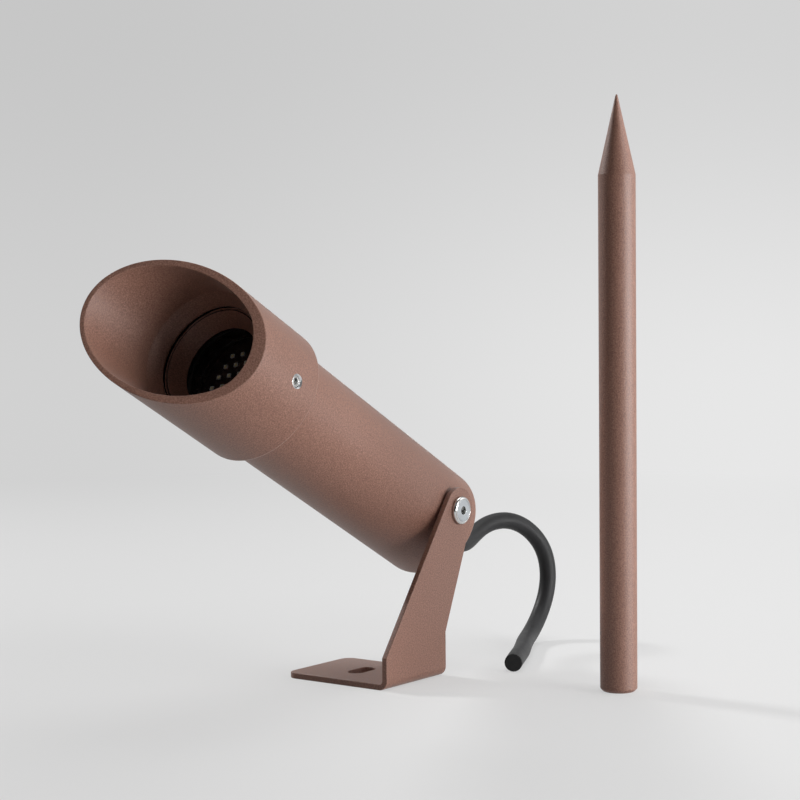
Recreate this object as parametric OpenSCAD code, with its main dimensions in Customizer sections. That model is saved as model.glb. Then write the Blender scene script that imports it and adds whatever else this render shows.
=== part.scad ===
// Landscape spotlight: a slim cylindrical head with a slash-cut glare shroud, on a one-sided
// bent-plate bracket, with its supply cable and a separate ground stake.
// Frame: +Z is up, the mouth looks towards -Y and up, the bracket's upright stands on +X.
// The origin is the centre of the base plate's slot, on the underside.

/* [Bracket] */
// Thickness of the bracket's plate
plate_t = 3; // [2.5:0.1:4]
// Length of the base plate, from its free edge to the upright's outer face
base_len = 66; // [58:1:80]
// Width of the bracket along the lamp
base_w = 51.5; // [46:0.5:60]
// Outer radius of the bend
bend_r = 5; // [4:0.5:8]
// Radius of the base plate's free corners
base_corner_r = 6; // [2:0.5:10]
// Distance from the upright's outer face to the centre of the slot
slot_inset = 36; // [32:1:40]
// Width of the slot in the base plate
slot_w = 9; // [6.5:0.5:12]
// Length of the slot in the base plate
slot_len = 18.5; // [14:0.5:24]
// Height of the pivot above the ground
pivot_h = 85.5; // [80:0.5:95]
// Distance of the pivot behind the middle of the base plate
pivot_back = 39.5; // [36:0.5:44]
// Height of the upright's straight front edge
front_edge_h = 16.5; // [12:0.5:24]
// Height of the upright's straight rear edge
rear_edge_h = 23; // [18:0.5:30]
// Radius of the arm's round top
arm_r = 12; // [10.5:0.5:14]

/* [Head] */
// Tilt of the lamp above the horizontal
tilt = 28.5; // [24:0.5:34]
// Outside diameter of the housing
body_d = 60; // [56:1:64]
// Wall of the housing at its front
front_wall = 3; // [2.5:0.1:3.5]
// Wall of the housing behind the light engine
rear_wall = 4; // [3.5:0.1:5]
// Thickness of the housing's closed end
end_wall = 5; // [4:0.5:7]
// Distance from the pivot back to the closed end
body_back = 23.5; // [20:0.5:28]
// Distance from the pivot forward to the housing's front edge
body_front = 175.9; // [168:0.1:188]
// Radius on the closed end's outer edge
end_round = 4; // [2:0.5:6]
// Gap between the arm and the housing, which the spacer washer fills
arm_gap = 1; // [0.6:0.1:2]

/* [Pivot] */
// Diameter of the pivot screw's shoulder
pivot_d = 8; // [6:0.5:9]
// Diameter of the pivot screw's low head
pivot_head_d = 14.7; // [12:0.1:16]
// Height of the pivot screw's low head
pivot_head_h = 2.3; // [1.8:0.1:3]
// Width across flats of the screw's socket
pivot_socket = 4; // [3:0.5:5]
// Outside diameter of the spacer washer
washer_d = 20; // [18:0.5:21]
// Depth of the flat milled into the housing for the washer
washer_seat = 0.5; // [0.4:0.1:1]

/* [Shroud] */
// Outside diameter of the shroud
shroud_d = 70.7; // [68:0.1:76]
// Wall of the shroud ahead of the housing
shroud_wall = 4.2; // [3:0.1:4.8]
// How much thinner the wall is at the tip of the slash cut, where the bore widens
shroud_flare = 2.4; // [0:0.1:2.6]
// Distance from the centre of the slash cut back to where the bore starts to widen
flare_back = 11; // [4:0.5:16]
// How far the shroud reaches back over the housing
shroud_lap = 39.4; // [36:0.1:46]
// Distance from the housing's front edge to the centre of the slash cut
slash_reach = 30; // [27:0.1:40]
// Angle between the slash cut and a square cut
slash_angle = 36; // [20:1:40]
// Turn of the slash cut's short side from the top towards the bracket
slash_turn = 89; // [0:1:180]
// Thickness of the shroud's inner ledge
ledge_t = 2.3; // [1.8:0.1:4]
// Inside diameter of the shroud's inner ledge
ledge_d = 55; // [51:0.5:57]
// Length of the cone that leads from the ledge out to the bore
ledge_cone = 7.8; // [4:0.1:8.2]
// Thickness of the ledge at its undercut inner edge
ledge_lip = 1; // [0.8:0.1:1.5]
// Radius on the shroud's rear edge
shroud_round = 2; // [1:0.25:3]
// Diameter of the set screws
set_screw_d = 6; // [5:0.5:6]
// Number of set screws around the shroud
set_screw_count = 3; // [1:1:4]
// Distance of the set screws behind the housing's front edge
set_screw_inset = 23; // [16:0.5:32]

/* [Light engine] */
// Depth of the LED board's face behind the housing's front edge
board_depth = 26.3; // [26:0.1:32]
// Length of the black baffle ring ahead of the board
baffle_len = 11.8; // [9:0.1:12]
// Thickness of the LED board
board_t = 1.6; // [1:0.1:2]
// Pitch of the hexagonal LED grid
led_pitch = 6.25; // [5.5:0.05:6.5]
// Number of rings of LEDs round the middle one
led_rings = 3; // [1:1:3]
// Width of an LED package
led_w = 2; // [1.6:0.1:3]
// Height of an LED package
led_h = 0.7; // [0.4:0.1:1]
// Turn of the LED grid about the lamp's axis
led_turn = 10.5; // [0:0.5:60]
// Thickness of the glass
glass_t = 4; // [3:0.5:4.5]
// Wall of the front bezel round the glass
bezel_wall = 2; // [1.5:0.1:3]
// Width of the bezel's lip over the glass
bezel_lip = 3.9; // [3.5:0.1:6]
// Depth of the bezel's front face behind the housing's front edge
bezel_inset = 0.1; // [0:0.1:2]
// Thickness of the carrier disc behind the LED board
carrier_t = 8; // [6:0.5:10]
// Length of the heat sink's fins
fin_len = 24; // [16:1:30]
// Number of fins on the heat sink
fin_count = 9; // [5:2:11]

/* [Driver] */
// Length of the driver's circuit board
driver_len = 74; // [60:1:80]
// Width of the driver's circuit board
driver_w = 38; // [32:1:42]
// Thickness of the driver's circuit board
driver_t = 1.6; // [1.2:0.1:2]
// Thickness of the rings that hold the driver
holder_t = 5; // [3:0.5:8]
// Inside diameter of the rings that hold the driver
holder_bore = 30; // [26:1:34]
// Width, height and length of the transformer
transformer_size = [20, 13, 18];
// Diameter and height of the capacitors
capacitor_d = 10; // [6:0.5:12]

/* [Cable] */
// Diameter of the cable
cable_d = 9.5; // [8:0.5:10]
// Diameter of the cable gland's dome nut
gland_d = 19; // [17:0.5:21]
// Length of the cable gland behind the housing
gland_len = 16; // [14:0.5:16]
// Diameter of the gland's thread
gland_thread_d = 16; // [14:0.5:16]

/* [Ground stake] */
// Diameter of the stake
stake_d = 18.6; // [16:0.1:22]
// Height of the stake from its flat end to its tip
stake_len = 297; // [260:1:340]
// Length of the stake's cone
stake_cone = 39.6; // [30:0.2:50]
// Chamfer on the stake's flat end
stake_chamfer = 1.5; // [0.5:0.25:3]
// Radius of the tapped hole in the stake's flat end
stake_hole_r = 3.4; // [2.5:0.1:4]
// Depth of the tapped hole in the stake's flat end
stake_hole_depth = 25; // [15:1:40]
// Where the stake stands, to the right of the slot
stake_x = 131.2; // [120:0.1:160]
// Where the stake stands, behind the slot
stake_y = 41.2; // [20:0.1:60]

/* [Hidden] */

// Clearance on a radius: of a part that slips into its seat, and of one that turns on another
seat_fit = 0.05;
turn_fit = 0.08;
// Gap between flat faces that turn past each other, and ahead of the housing
flat_gap = 0.1;
face_gap = 0.3;
// A cut runs this far past the surface that it opens
past = 1;

// Colours of the finishes
powder_coat = [0.42, 0.25, 0.2];
bare_steel = [0.75, 0.75, 0.76];
black_part = [0.05, 0.05, 0.055];

// Places worked out from the driving sizes
body_r = body_d / 2;
shroud_r = shroud_d / 2;
arm_out_x = slot_inset;
arm_in_x = arm_out_x - plate_t;
lamp_x = arm_in_x - arm_gap - body_r;
base_front_y = -base_w / 2;
base_rear_y = base_w / 2;
bore_front_r = body_r - front_wall;
bore_rear_r = body_r - rear_wall;
bore_end = -body_back + end_wall;
board_at = body_front - board_depth;
shroud_rear = body_front - shroud_lap;
slash_at = body_front + slash_reach;
set_screw_at = body_front - set_screw_inset;
carrier_back = board_at - board_t - carrier_t;
baffle_front = board_at + baffle_len;
lead_in = 0.8;
rear_gasket_t = 1.5;
front_gasket_t = 0.5;
glass_d = 2 * (bore_front_r - bezel_wall);
glass_back = baffle_front + rear_gasket_t;
glass_front = glass_back + glass_t;
bezel_front = body_front - bezel_inset;
bezel_lip_back = glass_front + front_gasket_t;
bezel_lip_t = 0.6;
bezel_lip_front = bezel_lip_back + bezel_lip_t;
ledge_back = body_front + face_gap;
ledge_front = ledge_back + ledge_t;
ledge_seat_r = body_r - 1;
shroud_bore_r = shroud_r - shroud_wall;
shroud_end = slash_at + shroud_r;
flare_from = slash_at - flare_back;
flare_rate = shroud_flare / (flare_back + shroud_r * tan(slash_angle));
gland_hex = gland_thread_d + 4;
gland_flange_t = gland_len / 4;
gland_end = body_back + gland_len;
gland_bore_r = cable_d / 2 + 0.3;
gland_stem = 6;
lock_nut_t = 4.5;
seal_len = 5;
seal_r = cable_d / 2 + 2;
dome_from = body_back + gland_flange_t;
fin_r = bore_rear_r - 2;
fin_t = 1.6;
driver_front = carrier_back - fin_len - 4;
driver_back = driver_front - driver_len;
holder_inset = 2;
terminal_size = [driver_w * 0.42, driver_w * 0.21, driver_w * 0.24];
terminal_back = driver_back + driver_len * 0.11;
lead_d = 1.8;
lead_hole_d = 2.6;
lead_x = fin_r * 0.1;
lead_y = driver_t / 2 + lead_d / 2;
pivot_boss_d = 18;
pivot_boss_in = 15;
washer_in_x = body_r - washer_seat;

// Puts a part drawn along +Z, its pivot at the origin, on the tilted axis of the lamp
module along_lamp() {
    translate([lamp_x, pivot_back, pivot_h])
        rotate([90 - tilt, 0, 0])
            children();
}

// A ring or disc on the lamp's axis
module lamp_ring(from, to, outer_r, inner_r) {
    translate([0, 0, from])
        difference() {
            cylinder(h = to - from, r = outer_r, $fn = 96);
            if (inner_r > 0)
                translate([0, 0, -past])
                    cylinder(h = to - from + 2 * past, r = inner_r, $fn = 96);
        }
}

// The arm's side view: a straight foot, edges tangent to the round top. X is along Y, Y is up.
function tangent_point(foot, side) =
    let (to_top = [pivot_back, pivot_h] - foot,
         reach = norm(to_top),
         turn = atan2(to_top[1], to_top[0]) + side * asin(arm_r / reach),
         run = sqrt(reach * reach - arm_r * arm_r))
    foot + run * [cos(turn), sin(turn)];

module arm_outline() {
    front_foot = [base_front_y, front_edge_h];
    rear_foot = [base_rear_y, rear_edge_h];
    front_top = tangent_point(front_foot, 1);
    rear_top = tangent_point(rear_foot, -1);
    union() {
        polygon([
            [base_front_y, bend_r], front_foot, front_top, [pivot_back, pivot_h],
            rear_top, rear_foot, [base_rear_y, bend_r]
        ]);
        translate([pivot_back, pivot_h])
            circle(r = arm_r, $fn = 96);
    }
}

module slot_outline() {
    half = (slot_len - slot_w) / 2;
    union() {
        square([slot_w, 2 * half], center = true);
        for (end = [-1, 1])
            translate([0, end * half])
                circle(d = slot_w, $fn = 64);
    }
}

module base_outline() {
    free_x = arm_out_x - base_len;
    flat_x = arm_out_x - bend_r;
    difference() {
        union() {
            translate([free_x + base_corner_r, base_front_y])
                square([flat_x - free_x - base_corner_r, base_w]);
            translate([free_x, base_front_y + base_corner_r])
                square([base_corner_r + past, base_w - 2 * base_corner_r]);
            for (side = [-1, 1])
                translate([free_x + base_corner_r, side * (base_w / 2 - base_corner_r)])
                    circle(r = base_corner_r, $fn = 64);
        }
        slot_outline();
    }
}

module bracket() {
    color(powder_coat)
        union() {
            linear_extrude(plate_t)
                base_outline();
            // The bend is a quarter of a tube
            translate([arm_out_x - bend_r, base_rear_y, bend_r])
                rotate([90, 0, 0])
                    linear_extrude(base_w)
                        intersection() {
                            difference() {
                                circle(r = bend_r, $fn = 96);
                                circle(r = bend_r - plate_t, $fn = 96);
                            }
                            translate([0, -bend_r])
                                square(bend_r);
                        }
            difference() {
                translate([arm_in_x, 0, 0])
                    rotate([90, 0, 90])
                        linear_extrude(plate_t)
                            arm_outline();
                translate([arm_in_x - past, pivot_back, pivot_h])
                    rotate([0, 90, 0])
                        cylinder(h = plate_t + 2 * past, d = pivot_d + 2 * seat_fit, $fn = 64);
            }
        }
}

// The housing is turned from bar: a rounded closed end, a stepped bore and a boss at the pivot
module housing() {
    color(powder_coat)
        along_lamp()
            difference() {
                union() {
                    difference() {
                        rotate_extrude($fn = 128)
                            union() {
                                translate([0, -body_back + end_round])
                                    square([body_r, body_front + body_back - end_round]);
                                translate([0, -body_back])
                                    square([body_r - end_round, end_round + past]);
                                translate([body_r - end_round, -body_back + end_round])
                                    circle(r = end_round, $fn = 64);
                            }
                        translate([0, 0, bore_end])
                            cylinder(h = body_front - bore_end + past, r = bore_rear_r, $fn = 96);
                        translate([0, 0, carrier_back])
                            cylinder(h = body_front - carrier_back + past, r = bore_front_r, $fn = 96);
                        // Lead-in for the bezel's thread
                        translate([0, 0, body_front - lead_in])
                            cylinder(h = 2 * lead_in, r1 = bore_front_r, r2 = bore_front_r + 2 * lead_in,
                                     $fn = 96);
                    }
                    // Boss inside the wall that holds the pivot's bush
                    translate([pivot_boss_in, 0, 0])
                        rotate([0, 90, 0])
                            cylinder(h = body_r - rear_wall / 2 - pivot_boss_in, d = pivot_boss_d, $fn = 64);
                }
                // Flat for the spacer washer
                translate([washer_in_x, 0, 0])
                    rotate([0, 90, 0])
                        cylinder(h = body_r, d = washer_d + 4 * seat_fit, $fn = 64);
                // Hole for the bush
                translate([pivot_boss_in - past, 0, 0])
                    rotate([0, 90, 0])
                        cylinder(h = body_r, d = pivot_d + 2, $fn = 64);
                // Hole for the cable gland
                translate([0, 0, -body_back - past])
                    cylinder(h = end_wall + 2 * past, d = gland_thread_d + 2 * seat_fit, $fn = 64);
            }
}

module set_screw_hole() {
    translate([0, body_r - past, set_screw_at])
        rotate([-90, 0, 0])
            cylinder(h = shroud_r, d = set_screw_d + 2 * seat_fit, $fn = 48);
    // Countersunk mouth
    mouth = 0.7;
    translate([0, shroud_r - mouth, set_screw_at])
        rotate([-90, 0, 0])
            cylinder(h = 3 * mouth, d1 = set_screw_d + 2 * seat_fit,
                     d2 = set_screw_d + 2 * seat_fit + 6 * mouth, $fn = 48);
}

// Everything on the shroud is turned about the lamp's axis from the slash cut's short side
module shroud_turn() {
    rotate([0, 0, -slash_turn])
        children();
}

module shroud() {
    cut_reach = 2 * shroud_d;
    color(powder_coat)
        along_lamp()
            shroud_turn()
                difference() {
                    rotate_extrude($fn = 128)
                        union() {
                            translate([body_r + turn_fit, shroud_rear])
                                square([shroud_r - shroud_round - body_r - turn_fit, 2 * shroud_round]);
                            translate([shroud_r - shroud_round, shroud_rear + shroud_round])
                                circle(r = shroud_round, $fn = 48);
                            // The sleeve, then back from the widening bore to the cone and the undercut ledge
                            polygon([
                                [body_r + turn_fit, shroud_rear + shroud_round],
                                [shroud_r, shroud_rear + shroud_round], [shroud_r, shroud_end],
                                [shroud_bore_r + flare_rate * (shroud_end - flare_from), shroud_end],
                                [shroud_bore_r, flare_from], [shroud_bore_r, ledge_front + ledge_cone],
                                [ledge_d / 2, ledge_front], [ledge_d / 2, ledge_front - ledge_lip],
                                [ledge_seat_r, ledge_back], [body_r + turn_fit, ledge_back]
                            ]);
                        }
                    // The slash cut: its short side is at +Y here
                    translate([0, 0, slash_at])
                        rotate([-slash_angle, 0, 0])
                            translate([-cut_reach, -cut_reach, 0])
                                cube([2 * cut_reach, 2 * cut_reach, 2 * cut_reach]);
                    for (i = [0 : set_screw_count - 1])
                        rotate([0, 0, i * 360 / set_screw_count])
                            set_screw_hole();
                }
}

// One grub screw with a hexagon socket, its outer end 0.8 below the shroud's surface
module set_screw() {
    sunk = 0.8;
    len = shroud_r - sunk - body_r - turn_fit;
    socket = set_screw_d / 2;
    socket_depth = 2.5;
    translate([0, body_r + turn_fit, set_screw_at])
        rotate([-90, 0, 0])
            difference() {
                cylinder(h = len, d = set_screw_d, $fn = 48);
                translate([0, 0, len - socket_depth])
                    cylinder(h = socket_depth + past, d = socket / cos(30), $fn = 6);
            }
}

module shroud_set_screws() {
    color(bare_steel)
        along_lamp()
            shroud_turn()
                for (i = [0 : set_screw_count - 1])
                    rotate([0, 0, i * 360 / set_screw_count])
                        set_screw();
}

// Threaded ring with a conical mouth that clamps the glass
module front_bezel() {
    rim = 0.6;
    mouth_r = bore_front_r - rim;
    color(powder_coat)
        along_lamp()
            rotate_extrude($fn = 128)
                polygon([
                    [glass_d / 2 - bezel_lip, bezel_lip_back], [glass_d / 2 - bezel_lip, bezel_lip_front],
                    [mouth_r, bezel_front], [bore_front_r - seat_fit, bezel_front],
                    [bore_front_r - seat_fit, glass_back], [glass_d / 2 + seat_fit, glass_back],
                    [glass_d / 2 + seat_fit, bezel_lip_back]
                ]);
}

module glass_lens() {
    color([0.8, 0.9, 0.9, 0.3])
        along_lamp()
            lamp_ring(glass_back, glass_front, glass_d / 2, 0);
}

module front_gasket() {
    color(black_part)
        along_lamp()
            lamp_ring(glass_front, bezel_lip_back, glass_d / 2, glass_d / 2 - 3);
}

module rear_gasket() {
    color(black_part)
        along_lamp()
            lamp_ring(baffle_front, glass_back, glass_d / 2, glass_d / 2 - 2);
}

// Black stepped ring that shades the LEDs and clamps the board's edge
module baffle_ring() {
    wall_r = glass_d / 2 - 0.6;
    ridge_t = 0.8;
    ridge_h = 1;
    color(black_part)
        along_lamp()
            union() {
                lamp_ring(board_at, baffle_front, bore_front_r - seat_fit, wall_r);
                for (at = [board_at + baffle_len / 4, baffle_front - 2 * ridge_t])
                    lamp_ring(at, at + ridge_t, wall_r + ridge_h, wall_r - ridge_h);
            }
}

module led_board() {
    color([0.07, 0.07, 0.075])
        along_lamp()
            lamp_ring(board_at - board_t, board_at, bore_front_r - seat_fit, 0);
}

// Centres of the LEDs: every point of a hexagonal grid within the given number of rings
function led_centres() = [
    for (i = [-led_rings : led_rings])
        for (j = [-led_rings : led_rings])
            if (abs(i + j) <= led_rings)
                led_pitch * [i + j / 2, j * sin(60)]
];

module led_packages() {
    color([0.85, 0.85, 0.75])
        along_lamp()
            rotate([0, 0, led_turn])
                for (at = led_centres())
                    translate([at[0] - led_w / 2, at[1] - led_w / 2, board_at])
                        cube([led_w, led_w, led_h]);
}

// Carrier disc seated on the step of the bore, with straight fins behind it
module heat_sink() {
    spread = 2 * fin_r * 0.8;
    color([0.72, 0.73, 0.75])
        along_lamp()
            union() {
                difference() {
                    lamp_ring(carrier_back, carrier_back + carrier_t, bore_front_r - seat_fit, 0);
                    for (side = [-1, 1])
                        translate([side * lead_x, lead_y, carrier_back - past])
                            cylinder(h = carrier_t + 2 * past, d = lead_hole_d, $fn = 32);
                }
                intersection() {
                    for (i = [0 : fin_count - 1])
                        translate([i * spread / (fin_count - 1) - spread / 2 - fin_t / 2, -fin_r,
                                   carrier_back - fin_len])
                            cube([fin_t, 2 * fin_r, fin_len + past]);
                    translate([0, 0, carrier_back - fin_len - past])
                        cylinder(h = fin_len + 3 * past, r = fin_r, $fn = 96);
                }
            }
}

// Two insulated leads from the driver's front edge, between the fins, to the LED board
module led_leads() {
    soldered = 8;
    color([0.7, 0.1, 0.08])
        along_lamp()
            for (side = [-1, 1])
                translate([side * lead_x, lead_y, driver_front - soldered])
                    cylinder(h = board_at - board_t - driver_front + soldered, d = lead_d, $fn = 32);
}

// Slotted plastic ring that centres the driver's board in the bore
module driver_holder(at) {
    color([0.9, 0.9, 0.88])
        along_lamp()
            difference() {
                lamp_ring(at, at + holder_t, bore_rear_r - seat_fit, holder_bore / 2);
                translate([-driver_w / 2 - seat_fit, -driver_t / 2 - seat_fit, at - past])
                    cube([driver_w + 2 * seat_fit, driver_t + 2 * seat_fit, holder_t + 2 * past]);
            }
}

module driver_holder_front() {
    driver_holder(driver_front - holder_t - holder_inset);
}

module driver_holder_rear() {
    driver_holder(driver_back + holder_inset);
}

module driver_board() {
    color([0.1, 0.35, 0.2])
        along_lamp()
            translate([-driver_w / 2, -driver_t / 2, driver_back])
                cube([driver_w, driver_t, driver_len]);
}

// Wound core that stands on the middle of the board
module transformer() {
    core = transformer_size;
    winding_d = core[1] * 0.85;
    color([0.75, 0.6, 0.15])
        along_lamp()
            translate([-core[0] / 2, driver_t / 2, driver_back + driver_len * 0.4])
                union() {
                    cube(core);
                    translate([core[0] / 2, core[1] / 2, -core[2] / 9])
                        cylinder(h = core[2] * 11 / 9, d = winding_d, $fn = 48);
                }
}

// Two capacitors that lie on the board, one at each end
module capacitors() {
    across = driver_w * 0.16;
    along = driver_len * 0.31;
    color([0.12, 0.12, 0.3])
        along_lamp()
            for (end = [-1, 1])
                translate([end * across, (driver_t + capacitor_d) / 2,
                           (driver_front + driver_back) / 2 + end * along])
                    cylinder(h = capacitor_d, d = capacitor_d, center = true, $fn = 48);
}

// Screw terminal under the board's rear end, where the cable's cores arrive
module driver_terminal() {
    color([0.2, 0.5, 0.25])
        along_lamp()
            translate([-terminal_size[0] / 2, -driver_t / 2 - terminal_size[1], terminal_back])
                cube(terminal_size);
}

module pivot_screw() {
    inside = 12;
    bevel = 1.1;
    socket_depth = 1.8;
    color(bare_steel)
        translate([0, pivot_back, pivot_h])
            rotate([0, 90, 0])
                difference() {
                    union() {
                        translate([0, 0, arm_out_x + flat_gap])
                            rotate_extrude($fn = 96)
                                polygon([
                                    [0, 0], [pivot_head_d / 2, 0],
                                    [pivot_head_d / 2, pivot_head_h - bevel],
                                    [pivot_head_d / 2 - bevel, pivot_head_h], [0, pivot_head_h]
                                ]);
                        translate([0, 0, lamp_x + body_r - inside])
                            cylinder(h = arm_out_x + flat_gap - lamp_x - body_r + inside,
                                     d = pivot_d, $fn = 64);
                    }
                    translate([0, 0, arm_out_x + flat_gap + pivot_head_h - socket_depth])
                        cylinder(h = socket_depth + past, d = pivot_socket / cos(30), $fn = 6);
                }
}

// Steel bush in the housing's boss that the pivot screw threads into
module pivot_bush() {
    color(bare_steel)
        along_lamp()
            translate([pivot_boss_in, 0, 0])
                rotate([0, 90, 0])
                    difference() {
                        cylinder(h = washer_in_x - pivot_boss_in, d = pivot_d + 2 - 2 * seat_fit, $fn = 64);
                        translate([0, 0, -past])
                            cylinder(h = body_r, d = pivot_d + 2 * seat_fit, $fn = 64);
                    }
}

module spacer_washer() {
    color(black_part)
        along_lamp()
            translate([washer_in_x, 0, 0])
                rotate([0, 90, 0])
                    difference() {
                        cylinder(h = washer_seat + arm_gap - flat_gap, d = washer_d, $fn = 96);
                        translate([0, 0, -past])
                            cylinder(h = arm_gap + washer_seat + 2 * past,
                                     d = pivot_d + 2 * turn_fit, $fn = 64);
                    }
}

// Threaded stem through the closed end, with a hexagon outside
module gland_body() {
    color(black_part)
        along_lamp()
            difference() {
                union() {
                    translate([0, 0, -dome_from])
                        cylinder(h = gland_flange_t, d = gland_hex / cos(30), $fn = 6);
                    translate([0, 0, -dome_from - gland_stem])
                        cylinder(h = gland_stem + past, r = seal_r + 1, $fn = 64);
                    translate([0, 0, -body_back - past])
                        cylinder(h = end_wall + lock_nut_t + 2 + past, d = gland_thread_d, $fn = 64);
                }
                translate([0, 0, -gland_end])
                    cylinder(h = gland_end + bore_end + lock_nut_t + 4 * past, r = gland_bore_r, $fn = 64);
                translate([0, 0, -dome_from - gland_stem - past])
                    cylinder(h = seal_len + past, r = seal_r, $fn = 64);
            }
}

module gland_seal() {
    color([0.15, 0.15, 0.16])
        along_lamp()
            translate([0, 0, -dome_from - gland_stem])
                difference() {
                    cylinder(h = seal_len, r = seal_r - seat_fit, $fn = 64);
                    translate([0, 0, -past])
                        cylinder(h = seal_len + 2 * past, d = cable_d + 2 * seat_fit, $fn = 64);
                }
}

// Dome nut outside, with six flats for a spanner and a round nose where the cable leaves
module gland_dome_nut() {
    stem_r = seal_r + 1 + seat_fit;
    flats = gland_d * 0.93;
    nose_r = 4;
    dome_back = -dome_from - flat_gap;
    color(black_part)
        along_lamp()
            intersection() {
                rotate_extrude($fn = 96)
                    difference() {
                        union() {
                            translate([0, -gland_end])
                                square([gland_d / 2 - nose_r, nose_r]);
                            translate([0, -gland_end + nose_r])
                                square([gland_d / 2, dome_back + gland_end - nose_r]);
                            translate([gland_d / 2 - nose_r, -gland_end + nose_r])
                                circle(r = nose_r, $fn = 64);
                        }
                        translate([-past, -dome_from - gland_stem])
                            square([stem_r + past, gland_stem + past]);
                        translate([-gland_d, -gland_end - past])
                            square([gland_d + gland_bore_r, gland_len + 2 * past]);
                    }
                translate([0, 0, -gland_end - past])
                    cylinder(h = gland_len + 2 * past, d = flats / cos(30), $fn = 6);
            }
}

module gland_lock_nut() {
    color(black_part)
        along_lamp()
            translate([0, 0, bore_end])
                difference() {
                    cylinder(h = lock_nut_t, d = (gland_hex + 2) / cos(30), $fn = 6);
                    translate([0, 0, -past])
                        cylinder(h = lock_nut_t + 2 * past, d = gland_thread_d + 2 * seat_fit, $fn = 64);
                }
}

// A straight round rod between two points
module rod(from, to, d) {
    way = to - from;
    translate(from)
        rotate([0, acos(way[2] / norm(way)), atan2(way[1], way[0])])
            cylinder(h = norm(way), d = d, $fn = 32);
}

// The cable's end in the gland: its sheath is stripped inside, and two cores reach the terminal
module cable_tail() {
    stripped = bore_end + 14;
    core_d = 2.6;
    core_at = 2.2;
    terminal = [core_d, -(driver_t + terminal_size[1]) / 2, terminal_back - 0.5];
    color([0.08, 0.08, 0.09])
        along_lamp()
            union() {
                translate([0, 0, -gland_end])
                    cylinder(h = stripped + gland_end, d = cable_d, $fn = 64);
                for (side = [-1, 1])
                    rod([side * core_at, 0, stripped - past],
                        [side * terminal[0], terminal[1], terminal[2]], core_d);
            }
}

// The free cable leaves the gland, rises into a bow, drops behind the lamp and lies on the ground.
// Its end stands still while the gland swings, so a small gap lies between them.
cable_gap = 0.6;
exit_way = [0, cos(tilt), -sin(tilt)];
cable_exit = [lamp_x, pivot_back, pivot_h] + (gland_end + cable_gap) * exit_way;
cable_route = concat([cable_exit, cable_exit + 10 * exit_way], [
    [0, 95, 59], [-4, 108, 62], [-4, 121, 68], [1, 136, 70], [7, 149, 64], [13, 158, 51],
    [15, 159, 34], [16, 152, 20], [18, 139, 9], [23, 124, 5], [30, 110, 5], [38, 96, 5],
    [46, 82, 5], [53, 67, 5], [60, 53, 4.8]
]);
cable_sides = 12;
rings_per_step = 2;

function route_point(i) =
    let (last = len(cable_route) - 1)
    i < 0 ? 2 * cable_route[0] - cable_route[1] :
    i > last ? 2 * cable_route[last] - cable_route[last - 1] :
    cable_route[i];

// Point and direction on a uniform cubic B-spline, a share u of the way along step i
function spline_at(i, u) = (
    pow(1 - u, 3) * route_point(i - 1) +
    (3 * pow(u, 3) - 6 * u * u + 4) * route_point(i) +
    (-3 * pow(u, 3) + 3 * u * u + 3 * u + 1) * route_point(i + 1) +
    pow(u, 3) * route_point(i + 2)) / 6;

function spline_way(i, u) =
    let (way = -pow(1 - u, 2) * route_point(i - 1) + (3 * u * u - 4 * u) * route_point(i) +
               (-3 * u * u + 2 * u + 1) * route_point(i + 1) + u * u * route_point(i + 2))
    way / norm(way);

// One ring of the tube, square to its direction. The route never runs along X.
function tube_ring(at, way) =
    let (side = cross(way, [1, 0, 0]) / norm(cross(way, [1, 0, 0])),
         up = cross(way, side))
    [for (k = [0 : cable_sides - 1])
        let (turn = k * 360 / cable_sides)
        at + cable_d / 2 * (cos(turn) * side + sin(turn) * up)];

module cable() {
    steps = (len(cable_route) - 1) * rings_per_step;
    rings = [for (k = [0 : steps])
        let (i = min(floor(k / rings_per_step), len(cable_route) - 2),
             u = k / rings_per_step - i)
        tube_ring(spline_at(i, u), spline_way(i, u))];
    points = [for (ring = rings) each ring];
    walls = [for (k = [0 : steps - 1], j = [0 : cable_sides - 1])
        let (a = k * cable_sides + j, b = k * cable_sides + (j + 1) % cable_sides)
        [a, a + cable_sides, b + cable_sides, b]];
    start_cap = [for (j = [0 : cable_sides - 1]) j];
    end_cap = [for (j = [cable_sides - 1 : -1 : 0]) steps * cable_sides + j];
    color([0.08, 0.08, 0.09])
        polyhedron(points = points, faces = concat(walls, [start_cap, end_cap]), convexity = 6);
}

module stake() {
    tip_r = 0.6;
    tip_len = 1;
    color(powder_coat)
        translate([stake_x, stake_y, 0])
            difference() {
                rotate_extrude($fn = 96)
                    polygon([
                        [0, 0], [stake_d / 2 - stake_chamfer, 0], [stake_d / 2, stake_chamfer],
                        [stake_d / 2, stake_len - stake_cone], [tip_r, stake_len - tip_len], [0, stake_len]
                    ]);
                translate([0, 0, -past])
                    cylinder(h = stake_hole_depth + past, r = stake_hole_r, $fn = 48);
            }
}

bracket();
housing();
shroud();
shroud_set_screws();
front_bezel();
glass_lens();
front_gasket();
rear_gasket();
baffle_ring();
led_board();
led_packages();
heat_sink();
led_leads();
driver_holder_front();
driver_holder_rear();
driver_board();
transformer();
capacitors();
driver_terminal();
pivot_screw();
pivot_bush();
spacer_washer();
gland_body();
gland_seal();
gland_dome_nut();
gland_lock_nut();
cable_tail();
cable();
stake();
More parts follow.
